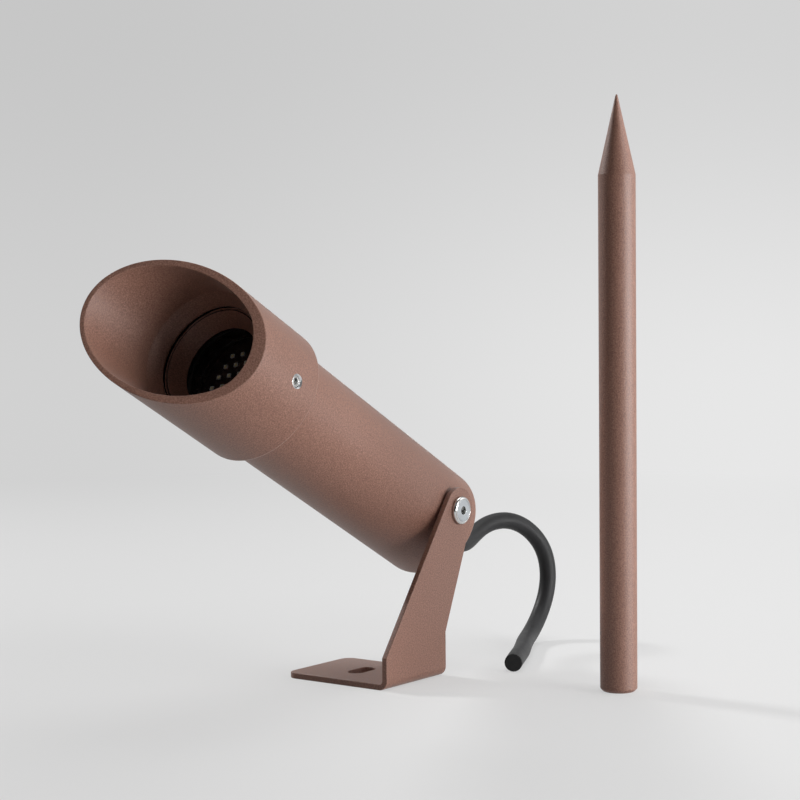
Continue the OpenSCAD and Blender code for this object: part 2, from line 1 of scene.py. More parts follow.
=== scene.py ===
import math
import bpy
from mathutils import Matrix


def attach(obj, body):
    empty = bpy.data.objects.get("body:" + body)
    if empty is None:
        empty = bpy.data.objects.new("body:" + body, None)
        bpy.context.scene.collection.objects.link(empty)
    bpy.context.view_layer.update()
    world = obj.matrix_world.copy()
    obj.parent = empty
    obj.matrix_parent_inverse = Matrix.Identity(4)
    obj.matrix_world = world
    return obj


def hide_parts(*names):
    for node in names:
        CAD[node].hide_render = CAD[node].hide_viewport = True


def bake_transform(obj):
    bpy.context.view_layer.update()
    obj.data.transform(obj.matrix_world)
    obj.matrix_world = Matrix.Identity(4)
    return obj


bl_info = {
    "name": "Landscape Spotlight",
    "version": (1, 0, 0),
    "blender": (4, 5, 0),
    "location": "View3D > Sidebar > Spotlight",
    "description": "Builds a powder-coated garden spotlight with its bracket, cable and ground stake",
    "category": "Object",
}

import bmesh
import bpy
from bpy.props import (
    FloatProperty,
    FloatVectorProperty,
    IntProperty,
    PointerProperty,
)
from mathutils import Matrix, Vector

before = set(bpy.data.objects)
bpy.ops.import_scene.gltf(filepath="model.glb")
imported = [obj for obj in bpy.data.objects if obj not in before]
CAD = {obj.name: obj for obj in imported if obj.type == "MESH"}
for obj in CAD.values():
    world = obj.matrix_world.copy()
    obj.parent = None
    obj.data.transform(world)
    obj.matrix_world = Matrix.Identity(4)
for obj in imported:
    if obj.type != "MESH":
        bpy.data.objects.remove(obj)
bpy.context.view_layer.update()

MM = 0.001
TOUCHING = 1e-6
FINISH_PREFIX = "spotlight_"
SMALL_SIDES = 48
CABLE_SIDES = 28
CABLE_STEPS = 8

# Points along a short round, and the most of a line that one round may take
EASED_STEPS = (0, 0.33, 0.67, 1)
EASED_SHARE = 0.45

# Where the pivot is, how far the lamp looks up and which way its beam goes
PIVOT = Vector((2.0, 39.5, 85.5)) * MM
TILT = math.radians(28.5)
BEAM = Vector((0, -math.cos(TILT), math.sin(TILT)))

# The camera, and the level directions to its right and ahead of it
VIEWPOINT = Vector((0.6401, -0.8186, 0.1997))
VIEW_HEADING = math.radians(36.84)
VIEW_PITCH = math.radians(86.96)
VIEW_ROLL = math.radians(-0.563)
VIEW_RIGHT = (math.cos(VIEW_HEADING), math.sin(VIEW_HEADING), 0)
VIEW_AHEAD = (-math.sin(VIEW_HEADING), math.cos(VIEW_HEADING), 0)
LENS = 90.0
SENSOR_WIDTH = 36.0
VIEW_END = 50.0

# The cable in millimetres, with its route as the source has it
GLAND_END = 39.5
CABLE_GAP = 0.6
CABLE_STRAIGHT = 10
CABLE_ROUTE = [
    (0, 95, 59), (-4, 108, 62), (-4, 121, 68), (1, 136, 70), (7, 149, 64), (13, 158, 51),
    (15, 159, 34), (16, 152, 20), (18, 139, 9), (23, 124, 5), (30, 110, 5), (38, 96, 5),
    (46, 82, 5), (53, 67, 5), (60, 53, 4.8),
]

# Each lamp's place, the point it looks at, its width and height in metres, and its power in watts
LAMPS = {
    "key_right": ((1.6, 0.35, 0.6), (0.0, 0.0, 0.12), (0.9, 1.0), 10.0),
    "low_right": ((1.6, 0.4, 0.16), (0.0, 0.0, 0.12), (1.3, 0.28), 16.0),
    "rear_right": ((1.0, 1.3, 0.8), (0.0, 0.0, 0.12), (0.9, 1.0), 3.6),
    "rim_left": ((-1.45, 0.05, 1.25), (0.05, 0.0, 0.1), (0.3, 0.3), 19.0),
    "top_rear": ((-0.1, 0.55, 1.8), (0.0, 0.0, 0.1), (1.2, 1.2), 10.0),
    "front_fill": ((0.4, -1.2, 1.6), (0.0, -0.1, 0.15), (0.9, 1.0), 1.2),
}
AMBIENT_STRENGTH = 0.12

# The backdrop's greys from left to right, low down and high up, and the directions where they lie
LOW_GREYS = (0.64, 0.8)
HIGH_GREYS = (0.57, 0.65)
FROM_LEFT_TO_RIGHT = (-0.18, 0.18)
FROM_LOW_TO_HIGH = (-0.06, 0.14)

# The floor: how much light it throws back and how much backdrop it shows, each over a stretch in metres
FLOOR_RADIUS = 8.0
FLOOR_BOUNCE = (0.27, 0.77)
BOUNCE_STRETCH = (-0.5, 0.3)
FLOOR_FADE = (0.65, 1.0)
FADE_STRETCH = (0.3, 1.2)

# Each plain finish's colour, roughness and further shader settings
PLAIN_FINISHES = {
    "gasket_rubber": ((0.03, 0.03, 0.03), 0.6, {}),
    "black_nylon": ((0.022, 0.022, 0.024), 0.42, {}),
    "black_baffle": ((0.006, 0.006, 0.007), 0.28, {"Specular_IOR_Level": 0.3}),
    "solder_mask": ((0.006, 0.006, 0.007), 0.45, {"Specular_IOR_Level": 0.15}),
    "led_phosphor": ((0.85, 0.76, 0.45), 0.25, {}),
    "led_body": ((0.85, 0.85, 0.82), 0.3, {}),
    "bare_aluminium": ((0.75, 0.76, 0.78), 0.3, {"Metallic": 1.0}),
    "holder_plastic": ((0.75, 0.74, 0.7), 0.45, {}),
    "circuit_board": ((0.02, 0.14, 0.06), 0.4, {}),
    "winding_tape": ((0.65, 0.42, 0.06), 0.35, {}),
    "capacitor_sleeve": ((0.03, 0.04, 0.14), 0.3, {}),
    "terminal_green": ((0.05, 0.3, 0.1), 0.4, {}),
    "lead_red": ((0.45, 0.02, 0.015), 0.4, {}),
}

# The solids that wear each finish
WORN_BY = {
    "powder_coat": ["bracket", "housing", "shroud", "front_bezel", "stake"],
    "cable_rubber": ["cable_tail"],
    "clear_glass": ["glass_lens"],
    "bright_steel": ["shroud_set_screws", "pivot_screw", "pivot_bush"],
    "gasket_rubber": ["front_gasket", "rear_gasket", "gland_seal"],
    "black_nylon": ["spacer_washer", "gland_body", "gland_dome_nut", "gland_lock_nut"],
    "black_baffle": ["baffle_ring"],
    "solder_mask": ["led_board"],
    "led_phosphor": ["led_packages"],
    "bare_aluminium": ["heat_sink"],
    "holder_plastic": ["driver_holder_front", "driver_holder_rear"],
    "circuit_board": ["driver_board"],
    "winding_tape": ["transformer"],
    "capacitor_sleeve": ["capacitors"],
    "terminal_green": ["driver_terminal"],
    "lead_red": ["led_leads"],
}


def length(name, description, millimetres):
    size = millimetres * MM
    return FloatProperty(name=name, description=description, default=size, unit="LENGTH", precision=5)


def angle(name, description, degrees):
    turn = math.radians(degrees)
    return FloatProperty(name=name, description=description, default=turn, unit="ROTATION")


def number(name, description, default, lowest, highest):
    return IntProperty(name=name, description=description, default=default, min=lowest, max=highest)


def color(name, description, value):
    return FloatVectorProperty(name=name, description=description, subtype="COLOR", default=value)


class SpotlightSizes(bpy.types.PropertyGroup):
    """Sizes of the modelled pieces"""

    shroud_r: length("Shroud radius", "Outer radius of the glare shroud", 35.35)
    shroud_wall: length("Shroud wall", "Wall of the shroud ahead of its ledge", 4.2)
    shroud_flare: length("Shroud flare", "How much thinner the wall is at the tip of the slash cut", 2.4)
    flare_back: length("Flare length", "From the slash cut's middle back to the flare's start", 11)
    shroud_bore: length("Shroud bore", "Radius of the bore that slips over the housing", 30.08)
    shroud_rear: length("Shroud rear", "Distance from the pivot to the shroud's rear edge", 136.5)
    shroud_round: length("Shroud rear round", "Radius on the shroud's rear edge", 2)
    ledge_front: length("Ledge front", "Distance from the pivot to the front of the inner ledge", 178.5)
    ledge_t: length("Ledge thickness", "Thickness of the inner ledge", 2.3)
    ledge_lip: length("Ledge lip", "Thickness of the ledge at its undercut inner edge", 1)
    ledge_r: length("Ledge radius", "Inner radius of the ledge", 27.5)
    ledge_seat_r: length("Ledge seat", "Inner radius of the ledge's flat back face", 29)
    ledge_cone: length("Ledge cone", "Length of the cone from the ledge out to the bore", 7.8)
    # Front faces beyond this distance get painted shade, black for the shadow gap under the ledge
    gap_shade_from: length("Joint face", "Distance from the pivot beyond which a front face is sealed", 175)
    slash_at: length("Slash place", "Distance from the pivot to the middle of the slash cut", 205.9)
    slash_angle: angle("Slash angle", "Angle between the slash cut and a square cut", 36)
    slash_turn: angle("Slash turn", "Turn of the cut's short side from the top towards the bracket", 89)
    screw_at: length("Set screw place", "Distance from the pivot to the set screws", 152.9)
    screw_r: length("Set screw radius", "Radius of a set screw", 3)
    screw_sunk: length("Set screw depth", "How far a set screw's end lies below the surface", 0.8)
    screw_count: number("Set screws", "Set screws round the shroud", 3, 1, 4)
    countersink: length("Countersink", "Depth of the set screw hole's countersink", 0.7)
    pivot_r: length("Pivot radius", "Radius of the pivot screw's shoulder", 4)
    pivot_reach: length("Pivot reach", "Length of the pivot screw's shoulder inside the head", 16.1)
    arm_face: length("Arm face", "Distance from the slot to the face the screw's head lies on", 36.1)
    head_r: length("Pivot head radius", "Radius of the pivot screw's low head", 7.35)
    head_h: length("Pivot head height", "Height of the pivot screw's low head", 2.3)
    stake_r: length("Stake radius", "Radius of the ground stake", 9.3)
    stake_len: length("Stake length", "Height of the stake to its tip", 297)
    stake_cone: length("Stake cone", "Length of the stake's cone", 39.6)
    stake_chamfer: length("Stake chamfer", "Chamfer on the stake's lower edge", 1.5)
    stake_hole_r: length("Stake hole radius", "Radius of the tapped hole before its thread", 3.4)
    stake_hole_depth: length("Stake hole depth", "Depth of the tapped hole", 25)
    stake_x: length("Stake X", "Place of the stake beside the lamp", 131.2)
    stake_y: length("Stake Y", "Place of the stake behind the slot", 41.2)
    board_at: length("Board face", "Distance from the pivot to the LED board's face", 149.6)
    led_w: length("LED width", "Width of one LED package", 2)
    led_h: length("LED height", "Height of one LED package", 0.7)
    led_pitch: length("LED pitch", "Pitch of the hexagonal LED grid", 6.25)
    led_turn: angle("LED turn", "Turn of the LED grid about the lamp's axis", 10.5)
    led_rings: number("LED rings", "Rings of LEDs round the middle one", 3, 1, 4)
    cable_d: length("Cable diameter", "Diameter of the rubber cable", 9.5)
    edge_round: length("Edge round", "Radius that the coat leaves on a sharp edge", 0.4)
    round_sides: number("Round sides", "Sides of a turned piece", 128, 32, 256)


class SpotlightFinish(bpy.types.PropertyGroup):
    """Colours and grain of the finishes"""

    coat: color("Coat", "Rust-brown powder coat", (0.25, 0.122, 0.086))
    coat_dark: color("Coat, dark grains", "Darker grains of the powder coat", (0.17, 0.078, 0.054))
    coat_light: color("Coat, light grains", "Lighter grains of the powder coat", (0.34, 0.178, 0.13))
    coat_grain: length("Coat grain", "Size of one grain of the coat", 0.34)
    cable: color("Cable", "Black rubber of the cable", (0.026, 0.026, 0.027))
    steel: color("Steel", "Bright stainless steel", (0.66, 0.66, 0.65))
    floor: color("Floor", "Pale studio floor", (0.95, 0.95, 0.95))


def clear_selection():
    if bpy.context.mode != "OBJECT":
        bpy.ops.object.mode_set(mode="OBJECT")
    bpy.ops.object.select_all(action="DESELECT")


def pick(obj):
    clear_selection()
    obj.select_set(True)
    bpy.context.view_layer.objects.active = obj


def start_edit(obj):
    pick(obj)
    bpy.ops.object.mode_set(mode="EDIT")


def end_edit():
    bpy.ops.object.mode_set(mode="OBJECT")


def select_parts(obj, kind, test):
    """Select the edges or faces that pass the test, in edit mode."""
    bpy.ops.mesh.select_mode(type=kind)
    bpy.ops.mesh.select_all(action="DESELECT")
    shape = bmesh.from_edit_mesh(obj.data)
    shape.normal_update()
    found = [part for part in (shape.edges if kind == "EDGE" else shape.faces) if test(part)]
    for part in found:
        part.select_set(True)
    bmesh.update_edit_mesh(obj.data)
    if not found:
        raise RuntimeError(f"{obj.name} has no such {kind.lower()} to select")


def turned(name, rings, sides=None):
    """Draw a turned piece up ring by ring from a circle, about Z. A ring is (radius, height)."""
    sides = sides or bpy.context.scene.spotlight_sizes.round_sides
    clear_selection()
    radius, height = rings[0]
    bpy.ops.mesh.primitive_circle_add(vertices=sides, radius=radius, location=(0, 0, height))
    obj = bpy.context.object
    obj.name = name
    bpy.ops.object.transform_apply(location=True)
    bpy.ops.object.mode_set(mode="EDIT")
    bpy.ops.mesh.select_mode(type="EDGE")
    bpy.ops.mesh.select_all(action="SELECT")
    for next_radius, next_height in rings[1:]:
        bpy.ops.mesh.extrude_region_move(TRANSFORM_OT_translate={"value": (0, 0, next_height - height)})
        grow = next_radius / radius
        bpy.ops.transform.resize(value=(grow, grow, 1), center_override=(0, 0, next_height))
        radius, height = next_radius, next_height
    return obj


def eased(rings, radius):
    """The same profile with each corner between its ends drawn as a short round."""
    points = [Vector(ring) for ring in rings]
    smoothed = [rings[0]]
    for before, corner, after in zip(points, points[1:], points[2:]):
        nearest = min((before - corner).length, (after - corner).length)
        cut = min(radius, EASED_SHARE * nearest)
        start = corner + cut * (before - corner).normalized()
        end = corner + cut * (after - corner).normalized()
        for u in EASED_STEPS:
            smoothed.append(tuple((1 - u) ** 2 * start + 2 * u * (1 - u) * corner + u ** 2 * end))
    return smoothed + [rings[-1]]


def select_open_edges():
    bpy.ops.mesh.select_mode(type="EDGE")
    bpy.ops.mesh.select_all(action="DESELECT")
    bpy.ops.mesh.select_non_manifold(
        use_wire=False, use_multi_face=False, use_non_contiguous=False, use_verts=False)


def face_outward():
    """Turn every face outward and leave edit mode."""
    bpy.ops.mesh.select_all(action="SELECT")
    bpy.ops.mesh.normals_make_consistent(inside=False)
    end_edit()


def bridge_ends():
    """Join the two open ends of the tube that is in edit mode."""
    select_open_edges()
    bpy.ops.mesh.bridge_edge_loops()
    face_outward()


def capped(name, rings, sides=None):
    """A turned piece with a flat face at each end."""
    obj = turned(name, rings, sides)
    select_open_edges()
    bpy.ops.mesh.fill_holes(sides=0)
    face_outward()
    return obj


def place(obj, matrix):
    obj.data.transform(matrix)
    obj.data.update()


def along_lamp():
    """From the lamp's own axes, with Z along the beam from the pivot, to where the lamp stands."""
    return Matrix.Translation(PIVOT) @ Matrix.Rotation(math.radians(90) - TILT, 4, "X")


def outward(turn, along, out):
    """On the lamp's side: Z points out from the lamp's axis, at a turn from the lamp's X."""
    lift = Matrix.Translation((0, 0, along))
    swing = Matrix.Rotation(turn, 4, "Z") @ Matrix.Rotation(math.radians(90), 4, "Y")
    return lift @ swing @ Matrix.Translation((0, 0, out))


def apply_modifier(obj, kind, **settings):
    pick(obj)
    step = obj.modifiers.new(kind, kind)
    for key, value in settings.items():
        setattr(step, key, value)
    bpy.ops.object.modifier_apply(modifier=step.name)


def cut_with(obj, tool):
    """Cut a tool's shape out of a piece, which takes the tool's finish there, and drop the tool."""
    apply_modifier(
        obj, "BOOLEAN", operation="DIFFERENCE", object=tool, solver="EXACT", material_mode="TRANSFER")
    bpy.data.objects.remove(tool)


def soften(obj, width, sharper_than=35, segments=2):
    """Round the sharp edges as a coat or a tumbled edge does."""
    apply_modifier(
        obj, "BEVEL", width=width, segments=segments, limit_method="ANGLE",
        angle_limit=math.radians(sharper_than), use_clamp_overlap=False)


def smooth(obj, flatter_than=35):
    pick(obj)
    bpy.ops.object.shade_smooth_by_angle(angle=math.radians(flatter_than))
    apply_modifier(obj, "WEIGHTED_NORMAL", keep_sharp=True)


def hexagon(flats, low, high):
    """A hexagonal tool for a socket, along Z."""
    clear_selection()
    bpy.ops.mesh.primitive_cylinder_add(
        vertices=6, radius=flats / 2 / math.cos(math.radians(30)), depth=high - low,
        location=(0, 0, (low + high) / 2))
    bpy.ops.object.transform_apply(location=True)
    return bpy.context.object


def finish_named(name):
    """A finish by name. The prefix keeps it apart from the plain materials of the frame."""
    return bpy.data.materials[FINISH_PREFIX + name]


def dressed(obj, *finishes):
    for name in finishes:
        obj.data.materials.append(finish_named(name))
    return obj


def give_finish(obj, index):
    """Give the selected faces the piece's finish of that index, in edit mode."""
    obj.active_material_index = index
    bpy.ops.object.material_slot_assign()


def copied(obj, name, matrix):
    """A copy with its own mesh, put in its place."""
    copy = bpy.data.objects.new(name, obj.data.copy())
    bpy.context.scene.collection.objects.link(copy)
    place(copy, matrix)
    return copy


def finish_piece(obj, body, slot, *nodes):
    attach(obj, body)
    if nodes:
        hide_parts(*nodes)


def softened_copy(node, name, body, slot, width=0):
    """A copy of a carried-over solid in its place, with rounded edges where a width is given."""
    piece = copied(CAD[node], name, CAD[node].matrix_world)
    start_edit(piece)
    bpy.ops.mesh.select_all(action="SELECT")
    bpy.ops.mesh.remove_doubles(threshold=TOUCHING)
    bpy.ops.mesh.dissolve_limited(angle_limit=math.radians(0.5))
    end_edit()
    if width:
        soften(piece, width)
    smooth(piece)
    finish_piece(piece, body, slot, node)
    return piece


def paint_gap_shade(piece, ahead_of):
    """Paint shade on a piece's front: its faces that look along the beam beyond a distance get the black
    baffle finish, as painted shade for the shadow gap under the shroud's ledge.
    """
    dressed(piece, "black_baffle")
    start_edit(piece)
    select_parts(piece, "FACE", lambda face: face.normal.dot(BEAM) > 0.9
                 and (face.calc_center_median() - PIVOT).dot(BEAM) > ahead_of)
    give_finish(piece, len(piece.data.materials) - 1)
    end_edit()


class Graph:
    """A node tree that is filled step by step."""

    def __init__(self, tree):
        self.nodes = tree.nodes
        self.links = tree.links

    def node(self, kind, feeds=None, **settings):
        """Add a node. Feeds gives its inputs, by name or number, a value or another node's output."""
        node = self.nodes.new(kind)
        for key, value in settings.items():
            setattr(node, key, value)
        for key, value in (feeds or {}).items():
            if isinstance(value, bpy.types.NodeSocket):
                self.links.new(value, node.inputs[key])
            else:
                node.inputs[key].default_value = value
        return node

    def math(self, operation, a, b):
        return self.node("ShaderNodeMath", {0: a, 1: b}, operation=operation).outputs["Value"]

    def vector_math(self, operation, feeds, output="Vector"):
        return self.node("ShaderNodeVectorMath", feeds, operation=operation).outputs[output]

    def along(self, direction, way):
        """How far a direction points a given way."""
        return self.vector_math("DOT_PRODUCT", {0: direction, 1: way}, "Value")

    def range(self, value, low, high, start=0.0, end=1.0, **settings):
        """Low where the value is start, high where it is end, and in between in proportion."""
        return self.node("ShaderNodeMapRange", {
            "Value": value, "From Min": start, "From Max": end, "To Min": low, "To Max": high,
        }, **settings).outputs["Result"]

    def shade(self, value, low, high, start, end):
        """The same with a soft beginning and end."""
        return self.range(value, low, high, start, end, interpolation_type="SMOOTHSTEP")

    def show(self, output, share, under, over):
        """Send a mix of two shaders to the tree's output."""
        mix = self.node("ShaderNodeMixShader", {"Fac": share, 1: under, 2: over})
        self.links.new(mix.outputs["Shader"], self.nodes[output].inputs["Surface"])


class Finish(Graph):
    """A material on the piece's own coordinates."""

    def __init__(self, name, color, rough, **more):
        self.material = bpy.data.materials.new(FINISH_PREFIX + name)
        self.material.use_nodes = True
        super().__init__(self.material.node_tree)
        self.shader = self.nodes["Principled BSDF"]
        self.set("Base Color", (*color, 1.0))
        self.set("Roughness", rough)
        for key, value in more.items():
            self.set(key.replace("_", " "), value)
        self.place = self.node("ShaderNodeTexCoord").outputs["Object"]

    def set(self, socket, value):
        self.shader.inputs[socket].default_value = value

    def noise(self, size, detail=2.0, rough=0.5):
        """Noise whose grains are about size metres across."""
        return self.node("ShaderNodeTexNoise", {
            "Vector": self.place, "Scale": 0.5 / size, "Detail": detail, "Roughness": rough,
        }).outputs["Fac"]

    def lathe_rings(self, pitch, centre):
        """Fine rings about the X direction through a centre, as a turning tool leaves them."""
        return self.node("ShaderNodeTexWave", {
            "Vector": self.vector_math("SUBTRACT", {0: self.place, 1: centre}),
            "Scale": 0.314 / pitch, "Distortion": 0.6, "Detail": 1.0,
        }, wave_type="RINGS", rings_direction="X").outputs["Fac"]

    def ramp(self, value, stops):
        node = self.node("ShaderNodeValToRGB", {"Fac": value})
        band = node.color_ramp
        while len(band.elements) < len(stops):
            band.elements.new(0.5)
        for element, (at, color) in zip(band.elements, stops):
            element.position = at
            element.color = (*color, 1.0)
        return node.outputs["Color"]

    def color(self, socket):
        self.links.new(socket, self.shader.inputs["Base Color"])

    def cloudy_color(self, cloud, color, dark, light):
        """The colour with a cloud of darker and lighter places."""
        self.color(self.ramp(cloud, [(0.3, scaled(color, dark)), (0.7, scaled(color, light))]))

    def rough(self, socket):
        self.links.new(socket, self.shader.inputs["Roughness"])

    def bump(self, height, strength, distance):
        """Raise the surface by a height, on top of any earlier bump."""
        normal = self.shader.inputs["Normal"]
        feeds = {"Strength": strength, "Distance": distance, "Height": height}
        if normal.is_linked:
            feeds["Normal"] = normal.links[0].from_socket
        self.links.new(self.node("ShaderNodeBump", feeds).outputs["Normal"], normal)


def scaled(color, factor):
    return tuple(min(1.0, channel * factor) for channel in color)


def grained_coat(name, lightness, **more):
    """Fine-grained powder coat: speckled colour and a pebbled surface."""
    look = bpy.context.scene.spotlight_finish
    tones = [scaled(tone, lightness) for tone in (look.coat_dark, look.coat, look.coat_light)]
    coat = Finish(name, tones[1], rough=0.5, **more)
    grain = coat.noise(look.coat_grain, detail=0.0)
    speck = coat.noise(look.coat_grain * 0.55, detail=1.0)
    mottle = coat.math("ADD", coat.math("MULTIPLY", grain, 0.6), coat.math("MULTIPLY", speck, 0.4))
    coat.color(coat.ramp(mottle, list(zip((0.28, 0.5, 0.72), tones))))
    coat.rough(coat.range(mottle, 0.42, 0.58, 0.35, 0.65))
    coat.bump(grain, 0.4, 0.2 * MM)
    coat.bump(speck, 0.4, 0.1 * MM)


def powder_coat():
    """The lamp's coat, with a soft sheen."""
    grained_coat("powder_coat", 1.0, Sheen_Weight=0.25, Sheen_Roughness=0.35)


def stake_coat():
    """The stake's coat: glossier and without the sheen, and a shade lighter as painted light, standing for
    the stronger light on the stake.
    """
    # The lightness 1.08 is painted light, not a different paint
    grained_coat("stake_coat", 1.08, Specular_IOR_Level=0.7)


def cable_rubber():
    """Matt rubber with a faint bloom and a moulding's fine texture."""
    look = bpy.context.scene.spotlight_finish
    rubber = Finish("cable_rubber", look.cable, rough=0.5, Specular_IOR_Level=0.2)
    film = rubber.noise(4 * MM, detail=4.0, rough=0.6)
    rubber.cloudy_color(film, look.cable, 0.85, 1.2)
    rubber.rough(rubber.range(film, 0.44, 0.56, 0.3, 0.7))
    rubber.bump(rubber.noise(0.6 * MM), 0.15, 0.1 * MM)


def bright_steel():
    """Polished stainless steel with a faint film."""
    look = bpy.context.scene.spotlight_finish
    steel = Finish("bright_steel", look.steel, rough=0.16, Metallic=1.0)
    film = steel.noise(2 * MM, detail=4.0)
    steel.cloudy_color(film, look.steel, 0.88, 1.1)
    steel.rough(steel.range(film, 0.1, 0.24, 0.3, 0.7))
    steel.bump(steel.noise(0.4 * MM), 0.06, 0.1 * MM)


def turned_steel():
    """The pivot screw's face, with a turning tool's rings."""
    face = Finish("turned_steel", (0.42, 0.44, 0.46), rough=0.35, Metallic=1.0)
    rings = face.lathe_rings(0.45 * MM, PIVOT)
    face.color(face.ramp(rings, [(0.2, (0.34, 0.36, 0.38)), (0.8, (0.5, 0.52, 0.54))]))
    face.rough(face.range(rings, 0.3, 0.42))
    face.bump(rings, 0.2, 0.05 * MM)


def clear_glass():
    """Toughened glass with an anti-reflection coat, which lets the lamps' light straight through."""
    glass = Finish("clear_glass", (1.0, 1.0, 1.0), rough=0.02, Transmission_Weight=1.0, IOR=1.2)
    glass.bump(glass.noise(20 * MM), 0.01, 0.2 * MM)
    shadow_ray = glass.node("ShaderNodeLightPath").outputs["Is Shadow Ray"]
    clear = glass.node("ShaderNodeBsdfTransparent").outputs["BSDF"]
    glass.show("Material Output", shadow_ray, glass.shader.outputs["BSDF"], clear)


def plain_finish(name, color, rough, more):
    """A moulded, machined or sheet finish with slight changes in colour, gloss and surface."""
    finish = Finish(name, color, rough, **more)
    cloud = finish.noise(4 * MM, detail=4.0)
    finish.cloudy_color(cloud, color, 0.9, 1.08)
    finish.rough(finish.range(cloud, rough * 0.85, rough * 1.15, 0.3, 0.7))
    finish.bump(finish.noise(0.5 * MM), 0.1, 0.1 * MM)


class SPOTLIGHT_OT_finishes(bpy.types.Operator):
    """Mix the finishes and give each carried-over solid its own"""

    bl_idname = "spotlight.finishes"
    bl_label = "Finishes"

    def execute(self, context):
        powder_coat()
        stake_coat()
        cable_rubber()
        bright_steel()
        turned_steel()
        clear_glass()
        for name, (color, rough, more) in PLAIN_FINISHES.items():
            plain_finish(name, color, rough, more)
        for finish, nodes in WORN_BY.items():
            for node in nodes:
                for slot in CAD[node].material_slots:
                    slot.material = finish_named(finish)
        return {"FINISHED"}


def cable_path(per_step):
    """Points of the cable's route on a uniform cubic B-spline, in metres."""
    exit_at = PIVOT / MM - (GLAND_END + CABLE_GAP) * BEAM
    route = [exit_at, exit_at - CABLE_STRAIGHT * BEAM] + [Vector(point) for point in CABLE_ROUTE]
    ends = [2 * route[0] - route[1]] + route + [2 * route[-1] - route[-2]]
    points = []
    for i in range(len(route) - 1):
        a, b, c, d = ends[i:i + 4]
        for k in range(per_step):
            u = k / per_step
            share_b = 3 * u ** 3 - 6 * u ** 2 + 4
            share_c = -3 * u ** 3 + 3 * u ** 2 + 3 * u + 1
            points.append(((1 - u) ** 3 * a + share_b * b + share_c * c + u ** 3 * d) / 6)
    points.append(route[-1])
    return [point * MM for point in points]


class SPOTLIGHT_OT_cable(bpy.types.Operator):
    """Draw the rubber cable along its route"""

    bl_idname = "spotlight.cable"
    bl_label = "Cable"

    def execute(self, context):
        sizes = context.scene.spotlight_sizes
        path = cable_path(CABLE_STEPS)
        cable = self.sweep("supply_cable", path, sizes.cable_d / 2, CABLE_SIDES)
        soften(cable, 0.6 * MM, sharper_than=60)
        smooth(cable, 40)
        dressed(cable, "cable_rubber")
        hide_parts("cable")
        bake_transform(cable)
        return {"FINISHED"}

    def sweep(self, name, path, radius, sides):
        """A closed tube along a path."""
        shape = bmesh.new()
        turns = [2 * math.pi * k / sides for k in range(sides)]
        rings = []
        for i, at in enumerate(path):
            way = (path[min(i + 1, len(path) - 1)] - path[max(i - 1, 0)]).normalized()
            side = way.cross(Vector((1, 0, 0))).normalized()
            up = way.cross(side)
            rings.append([
                shape.verts.new(at + radius * (math.cos(turn) * side + math.sin(turn) * up))
                for turn in turns
            ])
        for low, high in zip(rings, rings[1:]):
            for k in range(sides):
                shape.faces.new((low[k], low[k - 1], high[k - 1], high[k]))
        shape.faces.new(rings[0])
        shape.faces.new(rings[-1])
        bmesh.ops.recalc_face_normals(shape, faces=shape.faces)
        mesh = bpy.data.meshes.new(name)
        shape.to_mesh(mesh)
        shape.free()
        obj = bpy.data.objects.new(name, mesh)
        bpy.context.scene.collection.objects.link(obj)
        return obj


def screw_turns(sizes):
    """Turns of the set screws from the lamp's X: the first lies on the slash cut's short side."""
    first = math.radians(90) - sizes.slash_turn
    return [first + i * 2 * math.pi / sizes.screw_count for i in range(sizes.screw_count)]


class SPOTLIGHT_OT_shroud(bpy.types.Operator):
    """Turn the shroud, cut its mouth on the slant and drill its set screw holes"""

    bl_idname = "spotlight.shroud"
    bl_label = "Shroud"

    def execute(self, context):
        sizes = context.scene.spotlight_sizes
        shroud = turned("glare_shroud", self.profile(sizes))
        bridge_ends()
        self.slash(shroud, sizes)
        soften(shroud, sizes.edge_round, segments=3)
        dressed(shroud, "powder_coat")
        for turn in screw_turns(sizes):
            cut_with(shroud, self.drill(sizes, turn))
        smooth(shroud)
        place(shroud, along_lamp())
        finish_piece(shroud, "shroud", "coated_aluminium", "shroud")
        return {"FINISHED"}

    def profile(self, sizes):
        """Rings up the outside from the rear, then back down the bore to the ledge."""
        outer = sizes.shroud_r
        corner = sizes.shroud_round
        end = sizes.slash_at + outer
        bore = outer - sizes.shroud_wall
        flare_from = sizes.slash_at - sizes.flare_back
        flare_rate = sizes.shroud_flare / (sizes.flare_back + outer * math.tan(sizes.slash_angle))
        ledge_back = sizes.ledge_front - sizes.ledge_t
        inner_round = MM
        rear_round = [
            (outer - corner * (1 - math.sin(turn)), sizes.shroud_rear + corner * (1 - math.cos(turn)))
            for turn in (math.radians(15 * step) for step in range(7))
        ]
        return [(sizes.shroud_bore, sizes.shroud_rear)] + rear_round + eased([
            (outer, end),
            (bore + flare_rate * (end - flare_from), end),
            (bore, flare_from),
            (bore, sizes.ledge_front + sizes.ledge_cone),
            (sizes.ledge_r, sizes.ledge_front),
            (sizes.ledge_r, sizes.ledge_front - sizes.ledge_lip),
            (sizes.ledge_seat_r, ledge_back),
            (sizes.shroud_bore, ledge_back),
        ], inner_round)

    def slash(self, shroud, sizes):
        side = Vector((math.sin(sizes.slash_turn), math.cos(sizes.slash_turn), 0))
        facing = math.cos(sizes.slash_angle) * Vector((0, 0, 1)) + math.sin(sizes.slash_angle) * side
        start_edit(shroud)
        bpy.ops.mesh.select_all(action="SELECT")
        bpy.ops.mesh.bisect(plane_co=(0, 0, sizes.slash_at), plane_no=facing, clear_outer=True)
        bpy.ops.mesh.select_all(action="SELECT")
        bpy.ops.mesh.remove_doubles(threshold=0.05 * MM)
        bridge_ends()

    def drill(self, sizes, turn):
        """A countersunk drill that leaves bare metal."""
        clearance, reach = 0.05 * MM, 8 * MM
        hole = sizes.screw_r + clearance
        sink = sizes.countersink
        tool = capped("drill", [(hole, -reach), (hole, -sink), (hole + 2 * sink, sink)], SMALL_SIDES)
        place(tool, outward(turn, sizes.screw_at, sizes.shroud_r))
        return dressed(tool, "bare_aluminium")


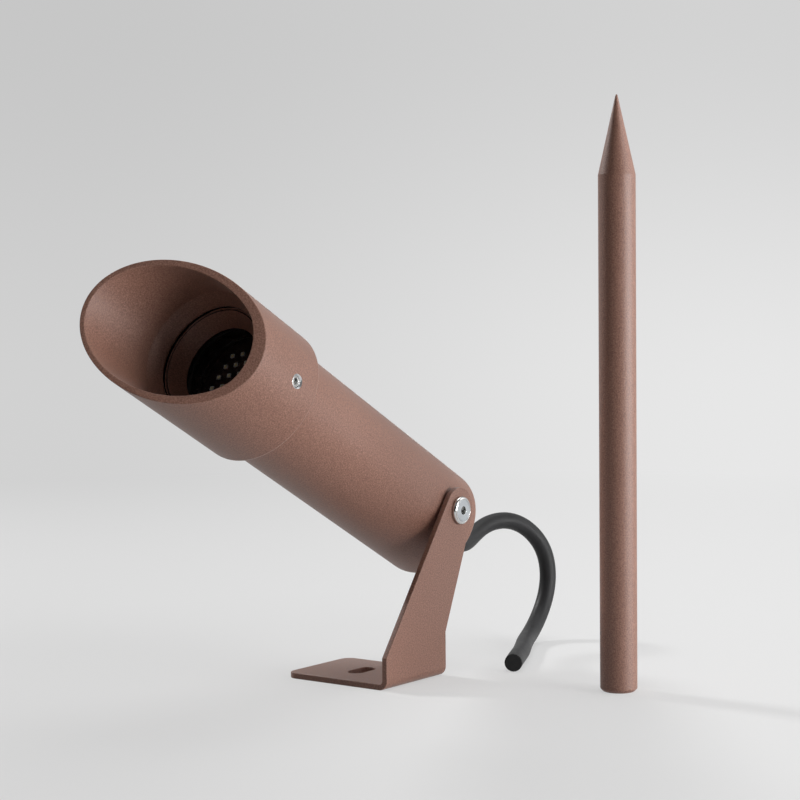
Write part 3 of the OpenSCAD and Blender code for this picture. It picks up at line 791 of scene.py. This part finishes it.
class SPOTLIGHT_OT_set_screws(bpy.types.Operator):
    """Turn one socket set screw and put a copy in each of the shroud's holes"""

    bl_idname = "spotlight.set_screws"
    bl_label = "Set Screws"

    def execute(self, context):
        sizes = context.scene.spotlight_sizes
        radius = sizes.screw_r
        long = sizes.shroud_r - sizes.screw_sunk - sizes.shroud_bore
        chamfer = 0.5 * MM
        socket_depth = 2.5 * MM
        tumbled = 0.12 * MM
        screw = capped("set_screw", [
            (radius - chamfer, 0), (radius, chamfer), (radius, long - chamfer), (radius - chamfer, long),
        ], SMALL_SIDES)
        dressed(screw, "bright_steel")
        cut_with(screw, hexagon(radius, long - socket_depth, long + MM))
        soften(screw, tumbled)
        smooth(screw)
        for number, turn in enumerate(screw_turns(sizes), 1):
            at = along_lamp() @ outward(turn, sizes.screw_at, sizes.shroud_bore)
            copy = copied(screw, f"set_screw_{number}", at)
            finish_piece(copy, "shroud", "stainless", "shroud_set_screws")
        bpy.data.objects.remove(screw)
        return {"FINISHED"}


class SPOTLIGHT_OT_sheet_and_mouldings(bpy.types.Operator):
    """Copy the housing, and round the edges of the bracket, bezel, baffle, washer and gland"""

    bl_idname = "spotlight.sheet_and_mouldings"
    bl_label = "Sheet and Mouldings"

    def execute(self, context):
        sizes = context.scene.spotlight_sizes
        edge = sizes.edge_round
        softened_copy("bracket", "bent_bracket", "bracket", "coated_steel", edge)
        # The housing's and the bezel's front faces get painted shade: black for the shadow gap under the
        # shroud's ledge
        for node, name, width in (("housing", "housing_tube", 0), ("front_bezel", "bezel", edge / 2)):
            paint_gap_shade(softened_copy(node, name, "head", "coated_aluminium", width), sizes.gap_shade_from)
        for node, name, width in (
            ("baffle_ring", "stepped_baffle", edge / 2),
            ("spacer_washer", "washer", edge / 4),
            ("gland_body", "gland", edge / 2),
            ("gland_dome_nut", "gland_nut", edge / 2),
        ):
            softened_copy(node, name, "head", "black_nylon", width)
        return {"FINISHED"}


class SPOTLIGHT_OT_pivot_screw(bpy.types.Operator):
    """Turn the pivot screw with its polished rim, ringed face and socket"""

    bl_idname = "spotlight.pivot_screw"
    bl_label = "Pivot Screw"

    def execute(self, context):
        sizes = context.scene.spotlight_sizes
        shank, head, top = sizes.pivot_r, sizes.head_r, sizes.head_h
        end_chamfer, rim, groove, tumbled = 0.5 * MM, 1.1 * MM, 0.25 * MM, 0.1 * MM
        socket, socket_depth = 4 * MM, 1.8 * MM
        inner_face = head - 1.3 * rim
        screw = capped("pivot_screw_turned", [
            (shank - end_chamfer, -sizes.pivot_reach), (shank, end_chamfer - sizes.pivot_reach),
            (shank, 0), (head, 0), (head, top - rim), (head - 0.3 * rim, top - 0.45 * rim),
            (head - rim, top), (inner_face, top), (head - 1.5 * rim, top - groove),
            (head - 1.7 * rim, top),
        ])
        dressed(screw, "bright_steel", "turned_steel")
        start_edit(screw)
        select_parts(screw, "FACE", lambda face: face.calc_center_median().z > top - groove
                     and max(Vector(v.co[:2]).length for v in face.verts) < inner_face + TOUCHING)
        give_finish(screw, 1)
        end_edit()
        cut_with(screw, dressed(hexagon(socket, top - socket_depth, top + MM), "bright_steel"))
        # A cone opens the socket's mouth
        sink = capped("sink", [(1.6 * MM, top - 0.7 * MM), (2.9 * MM, top + 0.6 * MM)], SMALL_SIDES)
        cut_with(screw, dressed(sink, "bright_steel"))
        soften(screw, tumbled)
        smooth(screw)
        on_the_arm = Matrix.Translation((sizes.arm_face, PIVOT.y, PIVOT.z))
        place(screw, on_the_arm @ Matrix.Rotation(math.radians(90), 4, "Y"))
        finish_piece(screw, "head", "stainless", "pivot_screw")
        return {"FINISHED"}


class SPOTLIGHT_OT_leds(bpy.types.Operator):
    """Model one LED package and set a copy on each point of the hexagonal grid"""

    bl_idname = "spotlight.leds"
    bl_label = "LEDs"

    def execute(self, context):
        sizes = context.scene.spotlight_sizes
        package = self.package(sizes)
        grid = along_lamp() @ Matrix.Rotation(sizes.led_turn, 4, "Z")
        rings = range(-sizes.led_rings, sizes.led_rings + 1)
        cells = [(i, j) for i in rings for j in rings if abs(i + j) <= sizes.led_rings]
        for number, (i, j) in enumerate(cells, 1):
            at = sizes.led_pitch * Vector((i + j / 2, j * math.sin(math.radians(60)), 0))
            at.z = sizes.board_at
            led = copied(package, f"led_{number}", grid @ Matrix.Translation(at))
            finish_piece(led, "head", "led_phosphor", "led_packages")
        bpy.data.objects.remove(package)
        return {"FINISHED"}

    def package(self, sizes):
        """A white ceramic body with the phosphor sunk in its top."""
        clear_selection()
        bpy.ops.mesh.primitive_cube_add(size=1, location=(0, 0, sizes.led_h / 2))
        package = bpy.context.object
        package.scale = (sizes.led_w, sizes.led_w, sizes.led_h)
        bpy.ops.object.transform_apply(location=True, scale=True)
        dressed(package, "led_body", "led_phosphor")
        corner, wall, sunk = 0.15 * MM, 0.28 * MM, 0.12 * MM
        start_edit(package)
        select_parts(package, "EDGE", lambda edge:
                     abs(edge.verts[0].co.z - edge.verts[1].co.z) > TOUCHING)
        bpy.ops.mesh.bevel(offset=corner, segments=2)
        select_parts(package, "FACE", lambda face: face.normal.z > 0.9)
        bpy.ops.mesh.inset(thickness=wall)
        bpy.ops.transform.translate(value=(0, 0, -sunk))
        give_finish(package, 1)
        end_edit()
        smooth(package)
        return package


class SPOTLIGHT_OT_stake(bpy.types.Operator):
    """Turn the pointed stake with its tapped hole"""

    bl_idname = "spotlight.stake"
    bl_label = "Stake"

    def execute(self, context):
        sizes = context.scene.spotlight_sizes
        hole, radius, top = sizes.stake_hole_r, sizes.stake_r, sizes.stake_len
        mouth = 0.8 * MM
        stake = capped("ground_stake", eased([
            (hole, sizes.stake_hole_depth), (hole, mouth), (hole + mouth, 0),
            (radius - sizes.stake_chamfer, 0), (radius, sizes.stake_chamfer),
            (radius, top - sizes.stake_cone), (0.5 * MM, top - 0.3 * MM), (0.05 * MM, top),
        ], sizes.edge_round))
        smooth(stake, 60)
        dressed(stake, "stake_coat")
        place(stake, Matrix.Translation((sizes.stake_x, sizes.stake_y, 0)))
        finish_piece(stake, "stake", "coated_steel", "stake")
        return {"FINISHED"}


class SPOTLIGHT_OT_stage(bpy.types.Operator):
    """Set up the camera, the floor, the lights and the backdrop"""

    bl_idname = "spotlight.stage"
    bl_label = "Stage"

    def execute(self, context):
        scene = context.scene
        self.add_camera(scene)
        clear_selection()
        bpy.ops.mesh.primitive_circle_add(
            vertices=96, radius=FLOOR_RADIUS, fill_type="NGON", location=(0, 0, 0))
        floor = context.object
        floor.name = "stage_floor"
        floor.data.materials.append(self.floor_material(scene.spotlight_finish.floor))
        for name, (at, to, size, power) in LAMPS.items():
            self.add_lamp(scene, name, Vector(at), Vector(to), size, power)
        self.set_world(scene)
        scene.view_settings.view_transform = "Standard"
        return {"FINISHED"}

    def add_camera(self, scene):
        camera = bpy.data.objects.new("camera", bpy.data.cameras.new("camera"))
        scene.collection.objects.link(camera)
        camera.data.lens = LENS
        camera.data.sensor_width = SENSOR_WIDTH
        camera.data.clip_end = VIEW_END
        heading = Matrix.Rotation(VIEW_HEADING, 4, "Z")
        pitch = Matrix.Rotation(VIEW_PITCH, 4, "X")
        roll = Matrix.Rotation(VIEW_ROLL, 4, "Z")
        camera.matrix_world = Matrix.Translation(VIEWPOINT) @ heading @ pitch @ roll
        scene.camera = camera

    def add_lamp(self, scene, name, at, to, size, power):
        lamp = bpy.data.lights.new(name, "AREA")
        lamp.shape = "RECTANGLE"
        lamp.size, lamp.size_y = size
        lamp.energy = power
        obj = bpy.data.objects.new(name, lamp)
        scene.collection.objects.link(obj)
        obj.location = at
        obj.rotation_euler = (to - at).to_track_quat("-Z", "Y").to_euler()

    def seen_directly(self, graph):
        """1 for a ray that shows the backdrop as such: from the eye, off gloss or through glass."""
        path = graph.node("ShaderNodeLightPath").outputs
        seen = path["Is Camera Ray"]
        for other in ("Is Glossy Ray", "Is Transmission Ray"):
            seen = graph.math("MAXIMUM", seen, path[other])
        return graph.math("MULTIPLY", seen, graph.math("LESS_THAN", path["Diffuse Depth"], 0.5))

    def backdrop_color(self, graph, direction):
        """Grey by direction: brighter to the right and low down, and dim as light from behind the camera."""
        across = graph.along(direction, VIEW_RIGHT)
        low = graph.shade(across, *LOW_GREYS, *FROM_LEFT_TO_RIGHT)
        high = graph.shade(across, *HIGH_GREYS, *FROM_LEFT_TO_RIGHT)
        rise = graph.shade(graph.along(direction, (0, 0, 1)), 0, 1, *FROM_LOW_TO_HIGH)
        grey = graph.node("ShaderNodeMix", {"Factor": rise, "A": low, "B": high}).outputs["Result"]
        ahead = graph.shade(graph.along(direction, VIEW_AHEAD), 0.1, 1, -0.5, 0.5)
        to_the_eye = graph.node("ShaderNodeLightPath").outputs["Is Camera Ray"]
        return graph.math("MULTIPLY", grey, graph.math("MAXIMUM", ahead, to_the_eye))

    def floor_material(self, color):
        """A pale floor that fades into the backdrop and throws less light back on the left."""
        floor = Finish("stage_floor", color, rough=0.9, Specular_IOR_Level=0.1)
        floor.bump(floor.noise(4 * MM), 0.02, 0.2 * MM)
        kept = floor.shade(floor.along(floor.place, VIEW_RIGHT), *FLOOR_BOUNCE, *BOUNCE_STRETCH)
        bounced = floor.node("ShaderNodeLightPath").outputs["Is Diffuse Ray"]
        lost = floor.math("MULTIPLY", floor.math("SUBTRACT", 1.0, kept), bounced)
        left = floor.math("SUBTRACT", 1.0, lost)
        floor.color(floor.vector_math("SCALE", {0: color, "Scale": left}))
        from_viewpoint = floor.vector_math("SUBTRACT", {0: floor.place, 1: VIEWPOINT})
        direction = floor.vector_math("NORMALIZE", {0: from_viewpoint})
        backdrop = floor.node("ShaderNodeEmission", {"Color": self.backdrop_color(floor, direction)})
        reach = floor.vector_math("LENGTH", {0: floor.place}, "Value")
        faded = floor.range(reach, *FLOOR_FADE, *FADE_STRETCH)
        share = floor.math("MULTIPLY", faded, self.seen_directly(floor))
        floor.show("Material Output", share, floor.shader.outputs["BSDF"], backdrop.outputs["Emission"])
        return floor.material

    def set_world(self, scene):
        """A dim ambient light, and the backdrop for the rays that see it directly."""
        world = bpy.data.worlds.new("studio")
        scene.world = world
        world.use_nodes = True
        graph = Graph(world.node_tree)
        grey = self.backdrop_color(graph, graph.node("ShaderNodeTexCoord").outputs["Generated"])
        ambient = graph.node("ShaderNodeBackground", {"Color": grey, "Strength": AMBIENT_STRENGTH})
        backdrop = graph.node("ShaderNodeBackground", {"Color": grey})
        graph.show("World Output", self.seen_directly(graph),
                   ambient.outputs["Background"], backdrop.outputs["Background"])


class SPOTLIGHT_PT_panel(bpy.types.Panel):
    """Lists the sizes, the finishes and the steps in the sidebar"""

    bl_idname = "SPOTLIGHT_PT_panel"
    bl_label = "Landscape Spotlight"
    bl_space_type = "VIEW_3D"
    bl_region_type = "UI"
    bl_category = "Spotlight"

    def draw(self, context):
        layout = self.layout
        for group in (context.scene.spotlight_sizes, context.scene.spotlight_finish):
            box = layout.box()
            for key in group.__annotations__:
                box.prop(group, key)
        for step in STEPS:
            layout.operator(step.bl_idname)


STEPS = (
    SPOTLIGHT_OT_stage,
    SPOTLIGHT_OT_finishes,
    SPOTLIGHT_OT_cable,
    SPOTLIGHT_OT_shroud,
    SPOTLIGHT_OT_set_screws,
    SPOTLIGHT_OT_sheet_and_mouldings,
    SPOTLIGHT_OT_pivot_screw,
    SPOTLIGHT_OT_leds,
    SPOTLIGHT_OT_stake,
)
CLASSES = (SpotlightSizes, SpotlightFinish) + STEPS + (SPOTLIGHT_PT_panel,)


def register():
    for cls in CLASSES:
        bpy.utils.register_class(cls)
    bpy.types.Scene.spotlight_sizes = PointerProperty(type=SpotlightSizes)
    bpy.types.Scene.spotlight_finish = PointerProperty(type=SpotlightFinish)


def unregister():
    del bpy.types.Scene.spotlight_finish
    del bpy.types.Scene.spotlight_sizes
    for cls in reversed(CLASSES):
        bpy.utils.unregister_class(cls)


def main():
    register()
    for step in STEPS:
        group, name = step.bl_idname.split(".")
        getattr(getattr(bpy.ops, group), name)()


if __name__ == "__main__":
    main()
